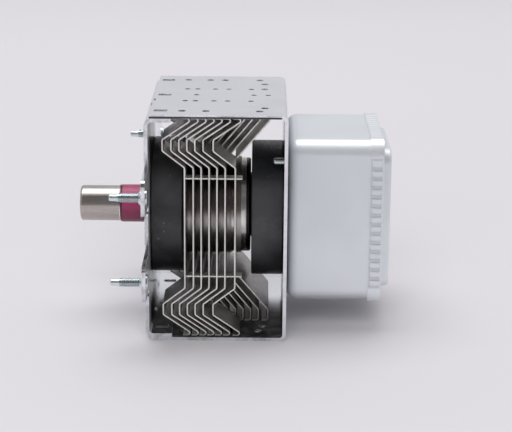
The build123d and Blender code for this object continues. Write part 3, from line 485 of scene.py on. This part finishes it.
def make_ferrite(name, dark, light, roughness):
    """Sintered ferrite: charcoal, gritty, with pale chips on its edges."""
    material, tree, shader = start_material(name, Metallic=0.0, Specular_IOR_Level=0.8)
    patch = effect(tree, "mottle", Scale=55.0)
    grain = effect(tree, "grain", Scale=1100.0)
    speck = effect(tree, "specks", Scale=420.0, Amount=0.05)
    edge = effect(tree, "edge", Radius=0.5 * MM)
    base = mixed(tree, patch, dark, light)
    chips = calc(tree, "MULTIPLY", calc(tree, "MAXIMUM", speck, edge), 0.5)
    tree.links.new(mixed(tree, chips, base, (0.16, 0.16, 0.165)), shader.inputs["Base Color"])
    vary_roughness(tree, shader, grain, roughness - 0.1, roughness + 0.1)
    bump(tree, shader, grain, 0.5, 0.06 * MM)
    return material


def make_ceramic(name, light, deep, roughness, fired_end=None):
    """Glazed alumina with a faint cloud in its colour; with a fired end it is darker there, and painted
    shade darkens its underside.
    """
    material, tree, shader = start_material(
        name, Metallic=0.0, Specular_IOR_Level=0.5, Coat_Weight=0.05, Coat_Roughness=0.25,
    )
    patch = effect(tree, "mottle", Scale=160.0)
    grain = effect(tree, "grain", Scale=2500.0)
    base = mixed(tree, patch, light, deep)
    if fired_end is not None:
        place = place_along(tree)
        # Painted shade: the underside is darkened in colour.
        under = spread(tree, place["Z"], -5 * MM, 5 * MM, 0.55, 0.0)
        fired = spread(tree, place["X"], fired_end - 0.4 * MM, fired_end + 0.4 * MM, 0.9, 0.0)
        base = mixed(tree, calc(tree, "MAXIMUM", under, fired), base, shade(deep, 0.3))
    tree.links.new(base, shader.inputs["Base Color"])
    vary_roughness(tree, shader, grain, roughness - 0.06, roughness + 0.08)
    bump(tree, shader, grain, 0.1, 0.02 * MM)
    return material


def make_zinc_plate(name):
    """Bright zinc with a thin passivated film that runs from blue-green to nearly clear."""
    material, tree, shader = start_material(name, Metallic=1.0)
    patch = effect(tree, "mottle", Scale=420.0)
    grain = effect(tree, "grain", Scale=3000.0)
    film = mixed(tree, patch, (0.68, 0.80, 0.83), (0.82, 0.84, 0.83))
    tree.links.new(mixed(tree, thread_root(tree), film, (0.36, 0.41, 0.43)), shader.inputs["Base Color"])
    vary_roughness(tree, shader, grain, 0.2, 0.36)
    bump(tree, shader, grain, 0.1, 0.01 * MM)
    return material


def stud_sizes():
    """How far the studs stand from the axis along Y and Z, and the radius of their crests."""
    mount = next(m for m in frame["record"]["mounts"] if m["name"] == "studs")["dims"]
    return mount["spacing_x_mm"] * MM / 2, mount["spacing_y_mm"] * MM / 2, mount["stud_r_mm"] * MM


def thread_root(tree):
    """Mask of the studs' thread below its crests, which is coloured darker."""
    reach_y, reach_z, crest = stud_sizes()
    place = place_along(tree)
    from_y = calc(tree, "SUBTRACT", calc(tree, "ABSOLUTE", place["Y"]), reach_y)
    from_z = calc(tree, "SUBTRACT", calc(tree, "ABSOLUTE", place["Z"]), reach_z)
    radius = off_axis(tree, from_y, from_z)
    point_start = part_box("mounting_studs")[0].x + STUD_POINT
    below_crest = spread(tree, radius, 0.84 * crest, 0.96 * crest, 0.8, 0.0)
    off_ear = calc(tree, "LESS_THAN", place["X"], 0.1 * MM - STUD_FLARE)
    off_point = calc(tree, "GREATER_THAN", place["X"], point_start + 0.5 * MM)
    return product(tree, off_ear, off_point, below_crest)


def make_moulding(name, colour, light, roughness):
    """Moulded resin or painted part with a fine orange-peel skin."""
    material, tree, shader = start_material(name, Metallic=0.0)
    patch = effect(tree, "mottle", Scale=120.0)
    grain = effect(tree, "grain", Scale=1800.0)
    base = mixed(tree, calc(tree, "MULTIPLY", patch, 0.5), colour, light)
    tree.links.new(base, shader.inputs["Base Color"])
    vary_roughness(tree, shader, grain, roughness - 0.08, roughness + 0.08)
    bump(tree, shader, grain, 0.2, 0.02 * MM)
    return material


FINISHES = {
    "yoke_steel": make_galvanised_sheet(
        "galvanised_steel", (0.91, 0.92, 0.96), (0.85, 0.86, 0.895), (0.10, 0.10, 0.11), 0.17,
    ),
    "box_steel": make_can_steel(
        "satin_tinned_steel", (0.86, 0.89, 0.925), (0.83, 0.86, 0.895), 0.45, 2600.0, 22.0,
    ),
    "zinc_plate": make_zinc_plate("passivated_zinc"),
    "magnet_ferrite": make_ferrite(
        "magnet_ferrite", (0.016, 0.017, 0.019), (0.052, 0.052, 0.056), 0.42,
    ),
    "fin_aluminium": make_fin_aluminium(
        "fin_aluminium", (0.86, 0.84, 0.82), (0.68, 0.65, 0.62), (0.23, 0.195, 0.18), 0.34,
    ),
    "copper": make_heat_shaded_copper(
        "plated_copper", (0.84, 0.83, 0.82), (0.74, 0.72, 0.70), (0.22, 0.18, 0.165), 0.24,
    ),
    "pole_iron": make_streaked_metal(
        "plated_iron", (0.55, 0.55, 0.55), (0.42, 0.42, 0.42), 0.35,
    ),
    "seal_metal": make_streaked_metal(
        "blackened_metal", (0.05, 0.048, 0.046), (0.03, 0.03, 0.03), 0.35,
    ),
    "output_alumina": make_ceramic(
        "pink_alumina", (0.40, 0.045, 0.14), (0.32, 0.034, 0.108), 0.36,
        fired_end=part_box("output_ceramic")[0].x + 1.0 * MM,
    ),
    "stem_alumina": make_ceramic(
        "white_alumina", (0.80, 0.78, 0.74), (0.72, 0.70, 0.66), 0.38,
    ),
    "cap_nickel": make_streaked_metal(
        "warm_nickel", (0.54, 0.50, 0.47), (0.40, 0.355, 0.33), 0.27, (30.0, 600.0, 600.0),
    ),
    "cathode_metal": make_streaked_metal(
        "cathode_metal", (0.40, 0.40, 0.42), (0.30, 0.30, 0.32), 0.35,
    ),
    "gasket_mesh": make_streaked_metal(
        "knitted_wire", (0.75, 0.74, 0.72), (0.55, 0.54, 0.52), 0.30,
    ),
    "capacitor_moulding": make_moulding(
        "capacitor_resin", (0.10, 0.045, 0.03), (0.16, 0.08, 0.055), 0.45,
    ),
    "tinned_brass": make_streaked_metal(
        "tinned_brass", (0.80, 0.79, 0.76), (0.68, 0.66, 0.62), 0.28, (700.0, 40.0, 700.0),
    ),
    "core_ferrite": make_ferrite(
        "core_ferrite", (0.045, 0.042, 0.04), (0.07, 0.065, 0.06), 0.6,
    ),
    "enamelled_wire": make_streaked_metal(
        "enamelled_wire", (0.72, 0.34, 0.16), (0.55, 0.22, 0.10), 0.25,
    ),
}


def slot_of(node):
    """Material slot that the record gives a node."""
    return next(part["material_slot"] for part in frame["record"]["subparts"] if part["node"] == node)


def finish_nodes():
    """Gives every node of the frame the finish of its own material slot."""
    for name, piece in frame["nodes"].items():
        for holder in piece.material_slots:
            holder.material = FINISHES[slot_of(name)]


def finished(name, shape, *nodes):
    """Makes a modelled shape a piece of the part that replaces these nodes, in their finish."""
    mesh = bpy.data.meshes.new(name)
    shape.to_mesh(mesh)
    shape.free()
    mesh.polygons.foreach_set("use_smooth", [True] * len(mesh.polygons))
    mesh.set_sharp_from_angle(angle=SMOOTH_ANGLE)
    piece = bpy.data.objects.new(name, mesh)
    bpy.context.scene.collection.objects.link(piece)
    weighted = piece.modifiers.new("weighted_normals", "WEIGHTED_NORMAL")
    weighted.keep_sharp = True
    mesh.materials.append(FINISHES[slot_of(nodes[0])])
    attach(piece, "root")
    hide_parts(*nodes)


def round_edges(shape, edges, radius, segments):
    """Rounds the given edges of a shape."""
    bmesh.ops.bevel(
        shape, geom=edges, offset=radius, offset_type="OFFSET", segments=segments,
        profile=0.5, affect="EDGES", clamp_overlap=True, material=-1,
    )


def round_corners(shape, radius, segments=2, least_angle=math.radians(28)):
    """Rounds every edge of a shape that is sharper than an angle."""
    sharp = [e for e in shape.edges if e.is_manifold and e.calc_face_angle() > least_angle]
    round_edges(shape, sharp, radius, segments)


def copy_of(node):
    """Shape of a node, with its loose triangles merged and its flat faces made whole."""
    shape = bmesh.new()
    shape.from_mesh(frame["nodes"][node].data)
    bmesh.ops.remove_doubles(shape, verts=shape.verts, dist=0.0005 * MM)
    bmesh.ops.dissolve_limit(shape, angle_limit=math.radians(0.6), verts=shape.verts, edges=shape.edges)
    return shape


def turned(outline, steps=96, closed=True):
    """Turns an outline of (x, radius) corners about the X axis, which is the antenna's."""
    shape = bmesh.new()
    corners = [shape.verts.new((x, 0, radius)) for x, radius in outline]
    for first, second in zip(corners, corners[1:] + (corners[:1] if closed else [])):
        shape.edges.new((first, second))
    bmesh.ops.spin(
        shape, geom=shape.verts[:] + shape.edges[:], cent=(0, 0, 0), axis=(1, 0, 0), dvec=(0, 0, 0),
        angle=math.tau, steps=steps, use_merge=True, use_duplicate=False,
    )
    bmesh.ops.remove_doubles(shape, verts=shape.verts, dist=0.0005 * MM)
    bmesh.ops.recalc_face_normals(shape, faces=shape.faces)
    return shape


def dress_plain_pieces():
    """Yoke, flange, fins, anode, cap and small parts, with the rounded edges that making leaves."""
    radii = {
        "yoke_frame": 0.16, "mounting_flange": 0.18,
        "anode_cylinder": 0.2, "box_rivets": 0.35, "capacitor_plate": 0.15, "capacitor_body": 0.3,
        "blade_terminal_1": 0.12, "blade_terminal_2": 0.12, "capacitor_rivets": 0.3,
    }
    radii.update({f"cooling_fin_{number}": 0.07 for number in range(1, 8)})
    radii.update({"antenna_cap": 0.12, "output_ceramic": 0.15})
    for node, radius in radii.items():
        shape = copy_of(node)
        round_corners(shape, radius * MM)
        finished(node + "_dressed", shape, node)


def arc_inset(radius, depth):
    """How far a quarter round of this radius lies inside its wall, at a depth from the base."""
    return radius - math.sqrt(radius ** 2 - (radius - depth) ** 2)


def dress_box():
    """Drawn can whose base runs into its walls with a full, soft radius."""
    shape = copy_of("filter_box")
    low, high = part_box("filter_box")
    cuts = 9
    for cut in range(1, cuts + 1):
        bmesh.ops.bisect_plane(
            shape, geom=shape.verts[:] + shape.edges[:] + shape.faces[:], dist=0.0001 * MM,
            plane_co=(low.x + CAN_BASE_SOFT * cut / cuts, 0, 0), plane_no=(1, 0, 0),
        )
    core = Vector((0, high.y - CAN_CORNER, high.z - CAN_CORNER))
    for vertex in shape.verts:
        depth = vertex.co.x - low.x
        out = Vector((0, abs(vertex.co.y), abs(vertex.co.z))) - core
        out = Vector((0, max(0.0, out.y), max(0.0, out.z)))
        if depth < CAN_BASE_SOFT and out.length > CAN_CORNER - CAN_BASE_MADE - 0.05 * MM:
            inset = arc_inset(CAN_BASE_SOFT, depth)
            if depth < CAN_BASE_MADE:
                inset -= arc_inset(CAN_BASE_MADE, depth)
            out = out.normalized() * inset
            vertex.co.y -= math.copysign(out.y, vertex.co.y)
            vertex.co.z -= math.copysign(out.z, vertex.co.z)
    round_corners(shape, 0.12 * MM, least_angle=math.radians(40))
    finished("filter_box_dressed", shape, "filter_box")


def dress_lid():
    """Lid with pillowed pads in its crimp; those of the top and bottom sides are pressed flatter."""
    shape = copy_of("filter_box_lid")
    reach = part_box("filter_box_lid")[1]
    near = 0.1 * MM
    pads = [
        e for e in shape.edges
        if all(abs(v.co.y) > reach.y - near or abs(v.co.z) > reach.z - near for v in e.verts)
    ]
    round_edges(shape, pads, 0.52 * MM, segments=3)
    skirt = reach.z - PAD_HEIGHT
    for vertex in shape.verts:
        rise = abs(vertex.co.z) - skirt
        if rise > 0:
            vertex.co.z -= math.copysign(0.75 * rise, vertex.co.z)
    round_corners(shape, 0.12 * MM, least_angle=math.radians(40))
    finished("filter_box_lid_dressed", shape, "filter_box_lid")


def dress_magnets():
    """Ferrite rings with rounded, ground edges."""
    for node in ("magnet_output", "magnet_input"):
        shape = copy_of(node)
        round_corners(shape, 0.25 * MM, segments=3)
        finished(node + "_dressed", shape, node)


def dress_studs():
    """Four zinc plated studs with a helical thread, a flare next to the ear and a pilot point."""
    low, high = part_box("mounting_studs")
    reach_y, reach_z, crest = stud_sizes()
    root = 0.80 * crest
    head = 3.3 * MM
    pitch, turns, steps = 0.7 * MM, 10, 24
    flare_radius = 1.6 * crest
    point_start, point = low.x + STUD_POINT, 1.35 * MM
    stud = turned([
        (high.x, 0), (high.x, head - 0.2 * MM), (high.x - 0.2 * MM, head),
        (FLANGE_SHEET, head), (FLANGE_SHEET, crest), (0, crest),
        (0, flare_radius), (-0.25 * MM, flare_radius), (-STUD_FLARE, 1.04 * crest),
        (-STUD_FLARE, root), (point_start + 0.3 * MM, root), (point_start - 0.3 * MM, point),
        (low.x + 0.3 * MM, point), (low.x, point - 0.3 * MM), (low.x, 0),
    ], steps=40, closed=False)
    foot = 0.9 * root
    ridge = [(0.0, foot), (0.3, crest), (0.45, crest), (0.75, foot)]
    corners = [stud.verts.new((-STUD_FLARE - x * pitch, 0, radius)) for x, radius in ridge]
    face = stud.faces.new(corners)
    bmesh.ops.spin(
        stud, geom=[face, *face.edges, *face.verts], cent=(0, 0, 0), axis=(1, 0, 0),
        dvec=(-pitch / steps, 0, 0), angle=math.tau * turns, steps=steps * turns,
        use_merge=False, use_duplicate=False,
    )
    bmesh.ops.recalc_face_normals(stud, faces=stud.faces)
    one = bpy.data.meshes.new("stud")
    stud.to_mesh(one)
    stud.free()
    row = bmesh.new()
    for side_y in (-1, 1):
        for side_z in (-1, 1):
            count = len(row.verts)
            row.from_mesh(one)
            row.verts.ensure_lookup_table()
            bmesh.ops.translate(row, verts=row.verts[count:], vec=(0, side_y * reach_y, side_z * reach_z))
    finished("mounting_studs_threaded", row, "mounting_studs")


def dress_gasket():
    """Ring of knitted wire: a packed core under two layers of crossing strands."""
    low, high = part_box("rf_gasket")
    wire = 0.11 * MM
    bore = 10.1 * MM
    middle, half_width = (high.z + bore) / 2, (high.z - bore) / 2 - 2 * wire
    centre_x, half_height = (low.x + high.x) / 2, (high.x - low.x) / 2 - 2 * wire
    curve = bpy.data.curves.new("gasket_strands", "CURVE")
    curve.dimensions = "3D"
    curve.bevel_depth = wire
    curve.bevel_resolution = 0
    strands, points = 60, 28
    twist, waves, squareness = 0.06, 7, 0.6
    for layer in (-1, 1):
        for strand in range(strands):
            line = curve.splines.new("POLY")
            line.points.add(points - 1)
            line.use_cyclic_u = False
            for index, point in enumerate(line.points):
                turn = math.tau * index / (points - 1)
                around = math.tau * (strand / strands + layer * twist * index / (points - 1))
                lift = wire * 0.8 * math.sin(waves * turn + layer * math.pi / 2)
                out, up = math.cos(turn), math.sin(turn)
                radius = middle + (half_width + lift) * math.copysign(abs(out) ** squareness, out)
                x = centre_x + (half_height + lift) * math.copysign(abs(up) ** squareness, up)
                point.co = (x, radius * math.cos(around), radius * math.sin(around), 1.0)
    strand_object = bpy.data.objects.new("gasket_strands", curve)
    bpy.context.scene.collection.objects.link(strand_object)
    mesh = bpy.data.meshes.new_from_object(strand_object)
    bpy.data.objects.remove(strand_object)
    core = turned([
        (low.x + 3 * wire, middle - half_width), (low.x + 3 * wire, middle + half_width - wire),
        (high.x, middle + half_width - wire), (high.x, middle - half_width),
    ])
    core.from_mesh(mesh)
    finished("rf_gasket_knit", core, "rf_gasket")


def make_camera():
    """Camera at the photograph's place and angle."""
    data = bpy.data.cameras.new("camera")
    data.sensor_width = SENSOR_WIDTH
    data.lens = LENS
    data.clip_start = 0.01
    data.clip_end = 50.0
    camera = bpy.data.objects.new("camera", data)
    bpy.context.scene.collection.objects.link(camera)
    turn = Matrix.Rotation(math.radians(CAMERA_YAW), 4, "Z")
    turn @= Matrix.Rotation(math.radians(90 - CAMERA_PITCH), 4, "X")
    turn @= Matrix.Rotation(math.radians(CAMERA_ROLL), 4, "Z")
    camera.matrix_world = Matrix.Translation(CAMERA_PLACE) @ turn
    bpy.context.scene.camera = camera


def make_floor():
    """Wide pale floor under the part, a little paler at the back, where it gets less light."""
    mesh = bpy.data.meshes.new("floor")
    shape = bmesh.new()
    bmesh.ops.create_grid(shape, x_segments=1, y_segments=1, size=6.0)
    bmesh.ops.translate(shape, verts=shape.verts, vec=(0, 0, cad_low.z))
    shape.to_mesh(mesh)
    shape.free()
    floor = bpy.data.objects.new("floor", mesh)
    bpy.context.scene.collection.objects.link(floor)
    material, tree, shader = start_material("pale_floor", Roughness=0.75)
    patch = effect(tree, "mottle", Scale=1.5)
    near = mixed(tree, patch, (0.675, 0.658, 0.683), (0.665, 0.648, 0.673))
    far = mixed(tree, patch, (0.768, 0.749, 0.776), (0.758, 0.739, 0.766))
    back = spread(tree, place_along(tree)["Y"], -0.1, 0.8, 0.0, 1.0)
    tree.links.new(mixed(tree, back, near, far), shader.inputs["Base Color"])
    mesh.materials.append(material)


def make_area_light(name, place, size, power, mirrored=True):
    """Soft lamp at a place, aimed at the part; mirrored tells whether shiny faces show it."""
    data = bpy.data.lights.new(name, "AREA")
    data.shape = "RECTANGLE"
    data.size, data.size_y = size
    data.energy = power
    lamp = bpy.data.objects.new(name, data)
    bpy.context.scene.collection.objects.link(lamp)
    lamp.visible_glossy = mirrored
    lamp.location = place
    lamp.rotation_euler = (LAMP_AIM - Vector(place)).to_track_quat("-Z", "Y").to_euler()


def make_world():
    """Pale studio, darker towards the camera's side; shiny faces see its far side brighter."""
    world = bpy.data.worlds.new("studio")
    bpy.context.scene.world = world
    world.use_nodes = True
    tree = world.node_tree
    background = tree.nodes["Background"]
    direction = put(tree, "SeparateXYZ", Vector=put(tree, "TexCoord").outputs["Generated"])
    far_side = spread(tree, direction.outputs["Y"], -0.40, -0.08, 0.17, 0.66)
    path = put(tree, "LightPath").outputs
    glossy = calc(tree, "MULTIPLY_ADD", path["Is Glossy Ray"], 0.15, 0.85)
    mirrored = calc(tree, "MULTIPLY", far_side, glossy)
    seen = calc(tree, "MAXIMUM", mirrored, calc(tree, "MULTIPLY", path["Is Camera Ray"], 0.8))
    tree.links.new(seen, background.inputs["Strength"])
    background.inputs["Color"].default_value = (0.97, 0.97, 1.0, 1.0)


finish_nodes()
dress_plain_pieces()
dress_box()
dress_lid()
dress_magnets()
dress_studs()
dress_gasket()
make_camera()
make_floor()
make_world()
make_area_light("top_softbox", (-0.2, 0.42, 2.5), (2.4, 1.5), 35.0)
make_area_light("left_softbox", (-0.9, -1.2, 0.9), (1.0, 1.0), 1.3)
make_area_light("front_fill", (0.05, -1.7, 1.3), (1.6, 1.2), 22.0, mirrored=False)

bpy.context.scene.view_settings.view_transform = "Standard"
